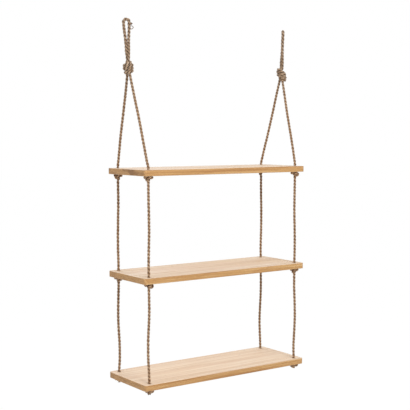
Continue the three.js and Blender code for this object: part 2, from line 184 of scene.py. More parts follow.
# How far a piece of rope runs past its ends into the next one, and the cores inside the bends.
JOIN_OVERLAP = 1.2
CORE_HALF_LENGTH = 2
CORE_SCALE = 0.93

# Loose fibres, and those of a frayed tail: their radii from root to tip, where they are rooted, and the
# ranges from which each one's length and form are drawn. FIBRES_AHEAD is the share that points on along the
# rope, towards its back tail.
FIBRES_PER_METRE = 380
FIBRE_RADII = (0.09, 0.08, 0.06, 0.025)
FIBRE_ROOT_SHARE = 0.97
FIBRE_WIDEST = math.radians(105)
FIBRE_LENGTHS = (2, 8)
FIBRE_LIFTS = (0.1, 0.45)
FIBRE_CURLS = (-0.5, 0.5)
FIBRE_BOWS = (-0.2, 0.3)
FIBRES_AHEAD = 0.6
TAIL_FIBRES = 70
TAIL_FIBRE_RADII = (0.16, 0.14, 0.1, 0.04)
TAIL_FIBRE_ROOT_SHARE = 0.95
TAIL_FIBRE_ROOT_DEPTH = 0.6
TAIL_FIBRE_LENGTHS = (0.6, 2.4)
TAIL_FIBRE_SPREADS = (0.1, 0.8)

# The yarns pulled out of the left eye: height in the frame, reach and turns of each. They leave the rope a
# little under its surface and come back there. One with more turns is the more tangled. A yarn has two plies.
PULLED_YARNS = ((-20, 9, 1), (-9, 4.4, 3))
PULLED_ROOT_SHARE = 0.8
PULLED_FROM_DEG = 165
PULLED_BACK_AT_DEG = 195
PULLED_POINTS_A_TURN = 36
PULLED_TANGLE = (0.22, 1.7)
PULLED_ASIDE = 0.9
PULLED_MARK = (0.35, 0.0, 0.1)
PLY_OFFSET = 0.5
PLY_RADIUS = 0.62
PLY_TURNS = 7
PLY_SIDES = 6

# A board's eased edges and holes' mouths, and how far in from them its flat faces' middles begin.
BOARD_EASE = 1.3
MOUTH_EASE = 0.6
FLAT_INSET = 2.4
EASE_STEPS = 4
CORNER_STEPS = 9
HOLE_SIDES = 36
SHARP_ABOVE_DEG = 50

# Yarns seen round a strand, their turn in radians a metre, and what makes the handled rope greyer.
YARNS = 5.0
YARN_TURN = 1500.0
GREYER = (0.94, 1.01, 1.12, 1)
# Distances in metres from a board's middle over which its wood turns from edge to face and from edge to end,
# and how close its year rings are, on its faces and edges and in the end grain.
# The faces' pale painted sheen begins on the arcs of the eased edges, so it also paints a pale highlight line
# along them.
FACE_BEGINS = (0.0079, 0.0089)
END_BEGINS = (0.2935, 0.2992)
RINGS_SCALE = 24.0
END_RINGS_SCALE = 72.0

# The studio: where its lamps point, the strength with which the white world lights, and the floor.
LAMPS_AIM = (0, 0, -0.65)
WORLD_LIGHTS = 0.52
FLOOR_Z = -1.9
FLOOR_SIZE = 60
FLOOR_GLOW = 1.02
FLOOR_GLOW_SHARE = 0.96

CAMERA_AT = (-1.7294, -2.4099, -0.325)
CAMERA_YAW_DEG = 35.42
CAMERA_PITCH_DEG = -4.26
IMAGE_PIXELS = 410
FOCAL_PIXELS = 959
SENSOR = 36


def add_object(name, data):
    made = bpy.data.objects.new(name, data)
    bpy.context.scene.collection.objects.link(made)
    return made


def add_camera():
    """The camera that was fitted to the photograph, with its yaw from the Y axis and its pitch from level."""
    data = bpy.data.cameras.new("camera")
    data.sensor_width = SENSOR
    data.lens = SENSOR * FOCAL_PIXELS / IMAGE_PIXELS
    camera = add_object("camera", data)
    yaw, pitch = math.radians(CAMERA_YAW_DEG), math.radians(CAMERA_PITCH_DEG)
    ahead = Vector((math.sin(yaw) * math.cos(pitch), math.cos(yaw) * math.cos(pitch), math.sin(pitch)))
    camera.location = CAMERA_AT
    camera.rotation_euler = ahead.to_track_quat("-Z", "Y").to_euler()
    bpy.context.scene.camera = camera


# Routes


def turned(x, y, degrees):
    angle = math.radians(degrees)
    return x * math.cos(angle) - y * math.sin(angle), x * math.sin(angle) + y * math.cos(angle)


def way_points(way, ring_radius, height, top):
    """A knot's way as points about its own middle line."""
    return [(*turned(share * ring_radius, 0, turn), top - drop * height) for turn, share, drop in way]


def smoothstep(x, low, high):
    t = min(max((x - low) / (high - low), 0), 1)
    return t * t * (3 - 2 * t)


def mix(a, b, t):
    return a + (b - a) * t


def leaning(point, side):
    """A point about the swing pivot of a hanger that hangs plumb, put where the leaning hanger has it."""
    x, y, z = point
    lean = SIDES[side] * HANGER_LEAN
    return (
        x * math.cos(lean) + z * math.sin(lean) + SIDES[side] * HOOK_X,
        y,
        z * math.cos(lean) - x * math.sin(lean) + SWING_PIVOT_Z,
    )


def slack(start, end, bow, phase):
    """Points between start and end of a rope that hangs almost straight from one to the other."""
    turn_x, turn_y = BOW_TURNS
    a, b = np.array(start, float), np.array(end, float)
    count = max(2, round(float(np.linalg.norm(b - a)) / BOW_SPACING))
    points = []
    for i in range(1, count):
        t = i / count
        away = np.array((math.cos(phase + turn_x * t), math.sin(phase + turn_y * t + 1), 0))
        points.append(tuple(a + (b - a) * t + away * bow * math.sin(math.pi * t) ** BOW_FULLNESS))
    return points


def quarter_turn_points(side):
    """The front half of the eye's turn over its hook, from the swing pivot's height up to the top."""
    points = []
    for degrees in range(0, 90 + 1, EYE_STEP_DEG):
        angle = math.radians(degrees)
        x, y = turned(EYE_RADIUS * math.cos(angle), 0, EYE_TURN_DEG[side])
        points.append((x + SIDES[side] * HOOK_X, y, EYE_RADIUS * math.sin(angle) + SWING_PIVOT_Z))
    return points


def eye_side_points(side, face):
    """One side of the eye, from just under the swing pivot to just above the loop knot."""
    half_turn = 180 if face == "back" else 0
    start = EYE_TURN_DEG[side] + half_turn
    end = half_turn - 90
    bottom = -(EYE_LENGTH + SWING_PIVOT_Z - KNOT_NECK - FIT_GAP)
    points = []
    for i in range(1, EYE_SIDE_STATIONS + 1):
        z = bottom * i / EYE_SIDE_STATIONS
        closed = smoothstep(z / -(EYE_CLOSES_AT + SWING_PIVOT_Z), 0, 1)
        angle = mix(start, end, smoothstep(z / bottom, *EYE_TURNS_BETWEEN[side]))
        points.append(leaning((*turned(mix(EYE_RADIUS, PAIR_RADIUS, closed), 0, angle), z), side))
    return points


def board_top(tier):
    return -HANG_DROP - TIERS.index(tier) * TIER_PITCH


def stopper_height(tier):
    return LAST_STOPPER_HEIGHT if tier == TIERS[-1] else STOPPER_HEIGHT


def stopper_points(side, face, tier, underside):
    """From the underside of a board to just below its knot."""
    turn = KNOT_TURNS_DEG[tier][f"{face}_{side}"]
    height = stopper_height(tier) - STRAND_DEPTH
    points = []
    for x, y, z in way_points(STOPPER_WAY, STOPPER_RING, height, -STRAND_DEPTH):
        x, y = turned(x, y, turn)
        points.append((x + SIDES[side] * HOLE_X, y + FACES[face] * HOLE_Y, z + underside))
    return points


def half_route(side, face):
    """The control points of half a rope from the top of its eye to its tail, and where its pieces end."""
    corner_x, corner_y = SIDES[side] * HOLE_X, FACES[face] * HOLE_Y
    eye_turn = np.array(quarter_turn_points(side)[::-1])
    if face == "back":
        eye_turn[:, :2] = 2 * np.array((SIDES[side] * HOOK_X, 0)) - eye_turn[:, :2]
    points = [tuple(point) for point in eye_turn]
    marks = [("eye_turn", len(points) - 1)]
    points += eye_side_points(side, face)
    marks.append(("eye", len(points) - 1))
    knot_top = -(EYE_LENGTH + SWING_PIVOT_Z)
    points.append(leaning((0, FACES[face] * PAIR_RADIUS, knot_top), side))
    loop_way = way_points(LOOP_WAYS[side, face], LOOP_RING, LOOP_KNOT_HEIGHT, knot_top)
    points += [leaning(point, side) for point in loop_way]
    exit_local = np.array((0, FACES[face] * LOOP_RING / 2, knot_top - LOOP_KNOT_HEIGHT + ROPE_RADIUS))
    foot_local = np.array((0, FACES[face] * HOLE_Y, -HANGER_RUN))
    way = (foot_local - exit_local) / np.linalg.norm(foot_local - exit_local)
    end_local = exit_local + way * (ROPE_RADIUS + KNOT_NECK)
    points += [leaning(exit_local, side), leaning(end_local, side)]
    marks.append(("loop_knot", len(points) - 1))
    phase = 2 * SIDES[side] + FACES[face]
    points += slack(points[-1], (corner_x, corner_y, LEG_PIVOT_Z), LEG_BOW, phase)
    points.append((corner_x, corner_y, LEG_PIVOT_Z))
    marks.append(("leg", len(points) - 1))
    for level, tier in enumerate(TIERS):
        top = board_top(tier)
        underside = top - BOARD_THICKNESS
        for z in (top, top - BOARD_THICKNESS / 2, underside + ROPE_RADIUS, underside):
            points.append((corner_x, corner_y, z))
        points += stopper_points(side, face, tier, underside)
        below = TAIL_LENGTH if tier == TIERS[-1] else BEND_BELOW_KNOT
        foot = underside - stopper_height(tier)
        points += [(corner_x, corner_y, foot - below / 2), (corner_x, corner_y, foot - below)]
        marks.append((f"{tier}_knot", len(points) - 1))
        if tier != TIERS[-1]:
            low = (corner_x, corner_y, top - TIER_PITCH + BEND_ABOVE_BOARD)
            bow = ROPE_BOW + ROPE_BOW_GAIN * level
            points += slack(points[-1], low, bow, phase + BOW_PHASE_STEP * level)
            points.append(low)
            marks.append((f"{TIERS[level + 1]}_rope", len(points) - 1))
    return points, marks


def rope_route(side):
    """The rope of one side, from its front tail to its back tail: its control points, and its stretches."""
    front, front_marks = half_route(side, "front")
    back, back_marks = half_route(side, "back")
    points = front[::-1] + back[1:]
    last = len(front) - 1
    stretches = []
    ends = [last - index for _, index in front_marks][::-1] + [last]
    names = [name for name, _ in front_marks][::-1]
    for name, start, end in zip(names, ends[:-1], ends[1:]):
        stretches.append((name, "front", start, end))
    start = last
    for name, index in back_marks:
        stretches.append((name, "back", start, last + index))
        start = last + index
    return points, stretches


class MiddleLine:
    """A smooth line through control points, with frames that don't twist, by the length along it.

    It is a centripetal Catmull-Rom curve. FINE is its points between two control points, STEP the distance of
    two rings where it is straight, and BEND_STEPS how many more rings there are for a radian of bend. swells
    lists where the rope is thicker.
    """

    FINE = 24
    STEP = 1.9
    BEND_STEPS = 5.5

    def __init__(self, points):
        control = np.array(points, float)
        ends = np.vstack((2 * control[0] - control[1], control, 2 * control[-1] - control[-2]))
        pieces = []
        share = np.linspace(0, 1, self.FINE, endpoint=False)[:, None]
        for p0, p1, p2, p3 in zip(ends[:-3], ends[1:-2], ends[2:-1], ends[3:]):
            d0, d1, d2 = (
                max(float(np.linalg.norm(b - a)), 1e-4) ** 0.5 for a, b in ((p0, p1), (p1, p2), (p2, p3))
            )
            m1 = ((p1 - p0) / d0 - (p2 - p0) / (d0 + d1) + (p2 - p1) / d1) * d1
            m2 = ((p2 - p1) / d1 - (p3 - p1) / (d1 + d2) + (p3 - p2) / d2) * d1
            t2, t3 = share**2, share**3
            pieces.append(
                (2 * t3 - 3 * t2 + 1) * p1 + (t3 - 2 * t2 + share) * m1
                + (3 * t2 - 2 * t3) * p2 + (t3 - t2) * m2
            )
        self.points = np.vstack((*pieces, control[-1:]))
        gaps = np.linalg.norm(np.diff(self.points, axis=0), axis=1)
        self.lengths = np.concatenate(([0], np.cumsum(gaps)))
        self.at_control = self.lengths[:: self.FINE]
        tangents = np.gradient(self.points, axis=0)
        self.tangents = tangents / np.linalg.norm(tangents, axis=1)[:, None]
        bends = np.linalg.norm(np.diff(self.tangents, axis=0), axis=1)
        self.cost = np.concatenate(([0], np.cumsum(gaps / self.STEP + bends * self.BEND_STEPS)))
        self.normals = self._carried_normals()
        self.swells = []

    def _carried_normals(self):
        """Normals that are carried along the line without a turn about it."""
        normal = np.cross(self.tangents[0], (0.0, 1.0, 0.0))
        normal /= np.linalg.norm(normal)
        normals = [normal]
        for tangent in self.tangents[1:]:
            normal = normal - tangent * float(normal @ tangent)
            normal /= np.linalg.norm(normal)
            normals.append(normal)
        return np.array(normals)

    def stations(self, start, end):
        """Lengths from start to end, closer together where the line bends."""
        low, high = np.interp((start, end), self.lengths, self.cost)
        costs = np.linspace(low, high, max(3, math.ceil(high - low) + 1))
        return np.interp(costs, self.cost, self.lengths)

    def at(self, lengths):
        """Places, tangents, normals and binormals at those lengths."""
        found = [
            np.stack([np.interp(lengths, self.lengths, values[:, k]) for k in range(3)], 1)
            for values in (self.points, self.tangents, self.normals)
        ]
        places, tangents, normals = found
        tangents /= np.linalg.norm(tangents, axis=1)[:, None]
        normals -= tangents * np.sum(normals * tangents, 1)[:, None]
        normals /= np.linalg.norm(normals, axis=1)[:, None]
        return places, tangents, normals, np.cross(tangents, normals)


# The ropes' meshes


def wander(lengths, phase, amount, wave):
    """A smooth waviness along the rope, of up to amount each way: three sines that never repeat together."""
    x = lengths / wave + phase
    return amount * ((np.sin(x * 2.1) + np.sin(x * 3.7 + 1.3 * phase) + np.sin(x * 6.1 + 2.9)) / 3)


def ring_angles(sides):
    return np.linspace(0, 2 * math.pi, sides, endpoint=False)


class Faces:
    """Points and faces of a mesh, with each point's place round its strand and along the rope."""

    def __init__(self):
        self.points = []
        self.faces = []
        self.marks = []
        self.count = 0

    def tube(self, places, across, along, radii, marks):
        """A closed tube of rings, whose axes are across and along. radii is rings by sides.

        marks is one mark for the whole tube, or one for each of its points.
        """
        rings, sides = radii.shape
        angles = ring_angles(sides)
        ring = (
            places[:, None]
            + across[:, None] * (radii * np.cos(angles))[..., None]
            + along[:, None] * (radii * np.sin(angles))[..., None]
        )
        base = self.count
        self.points.append(ring.reshape(-1, 3))
        self.marks.append(np.broadcast_to(marks, ring.shape).reshape(-1, 3))
        self.count += rings * sides
        for i in range(rings - 1):
            for k in range(sides):
                a, b = base + i * sides + k, base + i * sides + (k + 1) % sides
                self.faces.append((a, b, b + sides, a + sides))
        self.faces.append(tuple(base + k for k in reversed(range(sides))))
        self.faces.append(tuple(base + (rings - 1) * sides + k for k in range(sides)))

    def mesh(self, name, material):
        data = bpy.data.meshes.new(name)
        data.from_pydata((np.vstack(self.points) * METRES).tolist(), [], self.faces)
        layer = data.attributes.new("strand", "FLOAT_VECTOR", "POINT")
        layer.data.foreach_set("vector", np.vstack(self.marks).astype(np.float32).ravel())
        data.materials.append(material)
        data.shade_smooth()
        return add_object(name, data)


def thickness(line, lengths):
    """How thick the rope is at those lengths, as a share of what it is where it hangs free."""
    size = np.ones(len(lengths))
    for low, high, swell, over in line.swells:
        share = np.clip(np.minimum(lengths - low, high - lengths) / over, 0, 1)
        size += swell * share * share * (3 - 2 * share)
    return size


def strand_at(line, lengths, strand, seed, scale):
    """The middles of a strand at those lengths, the two axes of its rings, and its radii."""
    places, tangents, normals, binormals = line.at(lengths)
    phase = seed + STRAND_PHASE * strand
    turn = 2 * math.pi * (strand / STRANDS - lengths / LAY_LENGTH)
    turn += wander(lengths, seed, *LAY_DRIFT) + wander(lengths, phase, *LAY_UNEVEN)
    out = normals * np.cos(turn)[:, None] + binormals * np.sin(turn)[:, None]
    round_way = binormals * np.cos(turn)[:, None] - normals * np.sin(turn)[:, None]
    size = scale * thickness(line, lengths)
    offset = STRAND_OFFSET * size * (1 + wander(lengths, phase + 2, *OFFSET_UNEVEN))
    forward = tangents - round_way * (offset * 2 * math.pi / LAY_LENGTH)[:, None]
    forward /= np.linalg.norm(forward, axis=1)[:, None]
    radius = STRAND_RADIUS * size * (1 + wander(lengths, phase + 5, *RADIUS_UNEVEN))
    return places + out * offset[:, None], out, np.cross(forward, out), radius


def add_strands(faces, line, start, end, seed, scale):
    """The strands from start to end, lengths along the line."""
    lengths = line.stations(start, end)
    angles = ring_angles(STRAND_SIDES)
    for strand in range(STRANDS):
        middles, out, along, radius = strand_at(line, lengths, strand, seed, scale)
        turn = angles + lengths[:, None] / LOBE_LAY + seed + STRAND_PHASE * strand
        lobes = 1 + LOBE_HEIGHT * np.cos(LOBES * turn)
        marks = np.empty((*lobes.shape, 3))
        marks[..., 0] = np.cos(angles)
        marks[..., 1] = np.sin(angles)
        marks[..., 2] = lengths[:, None] * METRES + STRAND_MARK_STEP * strand
        faces.tube(middles, out, along, radius[:, None] * lobes, marks)


def add_hair(faces, points, side, radii, mark, sides=4):
    """A thin fibre along points, whose radius is given at each of them."""
    ahead = np.gradient(points, axis=0)
    ahead /= np.linalg.norm(ahead, axis=1)[:, None]
    across = np.cross(ahead, side)
    across /= np.linalg.norm(across, axis=1)[:, None]
    rings = np.array(radii)[:, None] * np.ones((len(points), sides))
    faces.tube(points, across, np.cross(ahead, across), rings, mark)


def random_root(line, at, seed, rng, widest):
    """At that length, a random strand's middle, a random way out of it, its radius, and the rope's way."""
    strand = int(rng.integers(STRANDS))
    lengths = np.array([at])
    middle, out, along, radius = (values[0] for values in strand_at(line, lengths, strand, seed, 1.0))
    angle = rng.uniform(-widest, widest)
    way_out = out * math.cos(angle) + along * math.sin(angle)
    return middle, way_out, float(radius), line.at(lengths)[1][0]


def add_fibres(faces, line, start, end, seed, rng):
    """Short loose fibres that stand off the strands."""
    share = np.linspace(0, 1, len(FIBRE_RADII))[:, None]
    for _ in range(round((end - start) * METRES * FIBRES_PER_METRE)):
        at = rng.uniform(start, end)
        middle, out, radius, tangent = random_root(line, at, seed, rng, FIBRE_WIDEST)
        side = np.cross(tangent, out)
        length = rng.uniform(*FIBRE_LENGTHS)
        lift = rng.uniform(*FIBRE_LIFTS)
        curl = rng.uniform(*FIBRE_CURLS)
        bow = rng.uniform(*FIBRE_BOWS)
        way = tangent * (1 if rng.random() < FIBRES_AHEAD else -1)
        points = (
            middle + out * radius * FIBRE_ROOT_SHARE + way * (length * share)
            + out * (length * (lift * share + bow * share**2)) + side * (length * curl * share**2)
        )
        add_hair(faces, points, side, FIBRE_RADII, (1.0, 0.0, at * METRES))


def add_tail_fibres(faces, line, at, way, seed, rng):
    """The frayed end of the rope: fibres that spread from the cut."""
    share = np.linspace(0, 1, len(TAIL_FIBRE_RADII))[:, None]
    for _ in range(TAIL_FIBRES):
        middle, out, radius, tangent = random_root(line, at, seed, rng, math.pi)
        length = rng.uniform(*TAIL_FIBRE_LENGTHS)
        spread = rng.uniform(*TAIL_FIBRE_SPREADS)
        root = middle + out * (radius * TAIL_FIBRE_ROOT_SHARE * math.sqrt(rng.random()))
        root = root - tangent * (way * TAIL_FIBRE_ROOT_DEPTH)
        points = root + tangent * (way * length * share) + out * (length * spread * share**2)
        add_hair(faces, points, np.cross(tangent, out), TAIL_FIBRE_RADII, (0.4, 0.0, at * METRES))


def add_pulled_yarns(faces, line, start, end):
    """Two yarns pulled out of the rope near the top of the left eye: an open loop and a small tangle."""
    outward = np.array((*turned(1, 0, EYE_TURN_DEG["left"]), 0.0))
    up = np.array((0.0, 0.0, 1.0))
    side = np.cross(outward, up)
    places = line.at(np.linspace(start, end, 60))[0]
    tangle, wave = PULLED_TANGLE
    for height, reach, turns in PULLED_YARNS:
        nearest = places[int(np.argmin(np.abs(places[:, 2] - height)))]
        root = nearest + outward * ROPE_RADIUS * PULLED_ROOT_SHARE
        low, high = math.radians(PULLED_FROM_DEG), math.radians(PULLED_BACK_AT_DEG - 360 * turns)
        angles = np.linspace(low, high, PULLED_POINTS_A_TURN * turns)
        tangled = wander(angles, 2.0, tangle * (turns - 1), wave)
        size = reach / 2 * (1 + 0.08 * np.cos(4 * angles) + tangled)
        away = size * (0.85 + np.cos(angles))
        rise = size * np.sin(angles)
        aside = PULLED_ASIDE * np.sin(1.7 * angles)
        middle = root + outward * away[:, None] + up * rise[:, None] + side * aside[:, None]
        radial = outward * np.cos(angles)[:, None] + up * np.sin(angles)[:, None]
        for ply in (0, math.pi):
            turn = PLY_TURNS * angles + ply
            points = middle + PLY_OFFSET * (radial * np.cos(turn)[:, None] + side * np.sin(turn)[:, None])
            add_hair(faces, points, side, [PLY_RADIUS] * len(points), PULLED_MARK, PLY_SIDES)


def rope_piece(name, line, spans, body, nodes, seed, scale=1.0, fibres=True):
    """A piece of rope over one or more spans of the line, which stands for those CAD nodes."""
    faces = Faces()
    rng = np.random.default_rng(hash_of(name))
    for start, end in spans:
        add_strands(faces, line, start, end, seed, scale)
        if fibres:
            add_fibres(faces, line, start, end, seed, rng)
        for cut, way in ((0, -1), (line.lengths[-1], 1)):
            if start <= cut <= end:
                add_tail_fibres(faces, line, cut, way, seed, rng)
    if name == "left_eye_front_rope":
        add_pulled_yarns(faces, line, *spans[0])
    piece = faces.mesh(name, ROPE)
    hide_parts(*nodes)
    if body is not None:
        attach(piece, body)
    return piece


def hash_of(name):
    """A number from a name that is the same on every run."""
    value = 7
    for letter in name:
        value = (value * 131 + ord(letter)) % 1000003
    return value


def swells_of(line, stretches):
    """Where the rope is thicker: from and to what length along its line, by what share, over what length."""
    eye = [line.at_control[index] for name, _, *ends in stretches if name == "eye" for index in ends]
    found = [(min(eye), max(eye), EYE_SWELL, EYE_SWELLS_OVER)]
    for name, face, first, last in stretches:
        if name.endswith("_knot"):
            start, end = line.at_control[first], line.at_control[last]
            in_hole = 0 if name == "loop_knot" else BOARD_THICKNESS + BEND_ABOVE_BOARD
            if face == "front":
                end -= in_hole
            else:
                start += in_hole
            found.append((start, end, KNOT_SWELL, KNOT_SWELLS_OVER))
    return found


def make_rope(side):
    """All the visible pieces of one side's rope, cut from its one middle line."""
    points, stretches = rope_route(side)
    line = MiddleLine(points)
    total = line.lengths[-1]
    line.swells = swells_of(line, stretches)
    seed = ROPE_SEEDS[side]
    turn_spans = []
    knot_spans = []
    for name, face, first, last in stretches:
        start, end = (float(line.at_control[i]) for i in (first, last))
        span = (max(start - JOIN_OVERLAP, 0), min(end + JOIN_OVERLAP, total))
        corner = f"{face}_{side}"
        if name == "eye_turn":
            turn_spans.append((start, end))
        elif name == "eye":
            nodes = [f"{side}_eye_{face}_bend", f"{side}_eye_{face}_side"]
            piece = rope_piece(f"{side}_eye_{face}_rope", line, [span], None, nodes, seed)
            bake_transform(piece)
        elif name == "loop_knot":
            knot_spans.append(span)
        elif name == "leg":
            node = f"{side}_{face}_leg"
            rope_piece(f"{side}_{face}_leg_rope", line, [span], f"{side}_hanger", [node], seed)
        elif name.endswith("_knot"):
            tier = name.removesuffix("_knot")
            node = f"{tier}_{corner}_knot"
            rope_piece(f"{tier}_{corner}_knotted_rope", line, [span], f"{tier}_tier", [node], seed)
        else:
            tier = name.removesuffix("_rope")
            node = f"{tier}_{corner}_rope"
            rope_piece(f"{tier}_{corner}_hanging_rope", line, [span], f"{tier}_{corner}_length", [node], seed)
            upper, lower = (end, start) if face == "front" else (start, end)
            core = (upper - CORE_HALF_LENGTH, upper + CORE_HALF_LENGTH)
            rope_piece(
                f"{tier}_{corner}_bend_core", line, [core], f"{tier}_{face}_bends", [f"{tier}_{corner}_bend"],
                seed, scale=CORE_SCALE, fibres=False,
            )
            if corner == "front_left":
                core = (lower - CORE_HALF_LENGTH, lower + CORE_HALF_LENGTH)
                rope_piece(
                    f"{tier}_{corner}_foot_core", line, [core], f"{tier}_foot_bend",
                    [f"{tier}_{corner}_foot_bend"], seed, scale=CORE_SCALE, fibres=False,
                )
    low = min(start for start, _ in turn_spans) - 2 * JOIN_OVERLAP
    high = max(end for _, end in turn_spans) + 2 * JOIN_OVERLAP
    rope_piece(f"{side}_eye_turn_rope", line, [(low, high)], "hook_turns", [f"{side}_eye_turn"], seed)
    rope_piece(f"{side}_loop_knotted_rope", line, knot_spans, f"{side}_hanger", [f"{side}_loop_knot"], seed)


# Boards


def rounded_outline(inset):
    x, y = BOARD_LENGTH / 2 - BOARD_CORNER_RADIUS, BOARD_DEPTH / 2 - BOARD_CORNER_RADIUS
    radius = BOARD_CORNER_RADIUS - inset
    points = []
    for corner, (sx, sy) in enumerate(((1, 1), (-1, 1), (-1, -1), (1, -1))):
        for i in range(CORNER_STEPS + 1):
            angle = math.pi / 2 * (corner + i / CORNER_STEPS)
            points.append((sx * x + radius * math.cos(angle), sy * y + radius * math.sin(angle)))
    return points


def hole_outline(x, y, radius):
    points = []
    for i in range(HOLE_SIDES):
        angle = 2 * math.pi * i / HOLE_SIDES
        points.append((x + radius * math.cos(angle), y + radius * math.sin(angle)))
    return points


def eased_profile(radius):
    """Inset and height pairs from the flat top, over the eased edge, down to the flat underside."""
    upper = [(FLAT_INSET, 0.0)]
    for i in range(EASE_STEPS + 1):
        angle = math.pi / 2 * i / EASE_STEPS
        upper.append((radius * (1 - math.sin(angle)), -radius * (1 - math.cos(angle))))
    return upper + [(inset, -BOARD_THICKNESS - z) for inset, z in reversed(upper)]


def make_board(tier, material):
    """A board with eased edges and four drilled holes, whose mouths are eased too."""
    top = board_top(tier)
    outlines = [[(rounded_outline(inset), z) for inset, z in eased_profile(BOARD_EASE)]]
    for x in (-HOLE_X, HOLE_X):
        for y in (-HOLE_Y, HOLE_Y):
            mouth = eased_profile(MOUTH_EASE)
            outlines.append([(hole_outline(x, y, HOLE_RADIUS + inset), z) for inset, z in mouth])
    bm = bmesh.new()
    # The edges of every outline's first and last loop, which bound the flat top and the flat underside.
    cap_edges = {0: [], -1: []}
    for rings in outlines:
        loops = []
        for outline, z in rings:
            loops.append([bm.verts.new((x * METRES, y * METRES, (top + z) * METRES)) for x, y in outline])
        for upper, lower in zip(loops[:-1], loops[1:]):
            for k in range(len(upper)):
                after = (k + 1) % len(upper)
                bm.faces.new((upper[k], upper[after], lower[after], lower[k]))
        for place in cap_edges:
            loop = loops[place]
            cap_edges[place] += [bm.edges.get(pair) for pair in zip(loop, loop[1:] + loop[:1])]
    for edges in cap_edges.values():
        bmesh.ops.triangle_fill(bm, edges=edges, use_beauty=True)
    bmesh.ops.recalc_face_normals(bm, faces=bm.faces)
    data = bpy.data.meshes.new(f"{tier}_board_wood")
    bm.to_mesh(data)
    bm.free()
    data.materials.append(material)
    data.shade_smooth()
    data.set_sharp_from_angle(angle=math.radians(SHARP_ABOVE_DEG))
    piece = add_object(data.name, data)
    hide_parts(f"{tier}_board")
    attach(piece, f"{tier}_tier")


# Materials


def linear(red, green, blue):
    """An opaque colour for a shader, from the 8-bit values with which it is shown."""
    shares = (red / 255, green / 255, blue / 255)
    return tuple(c / 12.92 if c <= 0.04045 else ((c + 0.055) / 1.055) ** 2.4 for c in shares) + (1,)


class Nodes:
    """Short calls that add nodes to a material and link them."""

    def __init__(self, name):
        self.material = bpy.data.materials.new(name)
        self.material.use_nodes = True
        self.tree = self.material.node_tree
        self.shader = self.tree.nodes["Principled BSDF"]

    def add(self, kind, inputs=(), **settings):
        node = self.tree.nodes.new(f"ShaderNode{kind}")
        for key, value in settings.items():
            setattr(node, key, value)
        for key, value in dict(inputs).items():
            self.join(value, node.inputs[key])
        return node

    def join(self, value, socket):
        if isinstance(value, bpy.types.NodeSocket):
            self.tree.links.new(value, socket)
        else:
            socket.default_value = value

    def shade(self, inputs):
        """The inputs of the material's shader."""
        for key, value in inputs.items():
            self.join(value, self.shader.inputs[key])

    def math(self, operation, a, b=0.0, c=0.0):
        return self.add("Math", {0: a, 1: b, 2: c}, operation=operation).outputs[0]

    def noise(self, vector, scale, detail, roughness):
        inputs = {"Vector": vector, "Scale": scale, "Detail": detail, "Roughness": roughness}
        return self.add("TexNoise", inputs).outputs["Fac"]

    def mapped(self, vector, scale=(1, 1, 1), location=(0, 0, 0)):
        return self.add("Mapping", {"Vector": vector, "Scale": scale, "Location": location}).outputs[0]

    def year_rings(self, vector, scale):
        """Rings round the X axis, which rise slowly and fall at once."""
        inputs = {"Vector": vector, "Scale": scale, "Distortion": 1.6, "Detail": 2.0, "Detail Scale": 2.0}
        settings = {"wave_type": "RINGS", "rings_direction": "X", "wave_profile": "SAW"}
        return self.add("TexWave", inputs, **settings).outputs["Fac"]

    def ramp(self, value, *stops):
        """A colour or grey for a value, from (place, colour or grey) stops."""
        node = self.add("ValToRGB", {"Fac": value})
        elements = node.color_ramp.elements
        while len(elements) < len(stops):
            elements.new(0.5)
        for element, (place, colour) in zip(elements, stops):
            element.position = place
            element.color = colour if isinstance(colour, tuple) else (colour, colour, colour, 1)
        return node.outputs["Color"]

    def rise(self, value, low, high):
        """0 up to low, 1 from high on, and a straight slope between."""
        return self.add("MapRange", {0: value, 1: low, 2: high}, clamp=True).outputs[0]

    def blend(self, factor, a, b, kind="MIX"):
        node = self.add("Mix", data_type="RGBA", blend_type=kind)
        for index, value in ((0, factor), (6, a), (7, b)):
            self.join(value, node.inputs[index])
        return node.outputs[2]

    def bump(self, height, strength, distance, normal=None):
        inputs = {"Height": height, "Strength": strength, "Distance": distance}
        if normal is not None:
            inputs["Normal"] = normal
        return self.add("Bump", inputs).outputs[0]


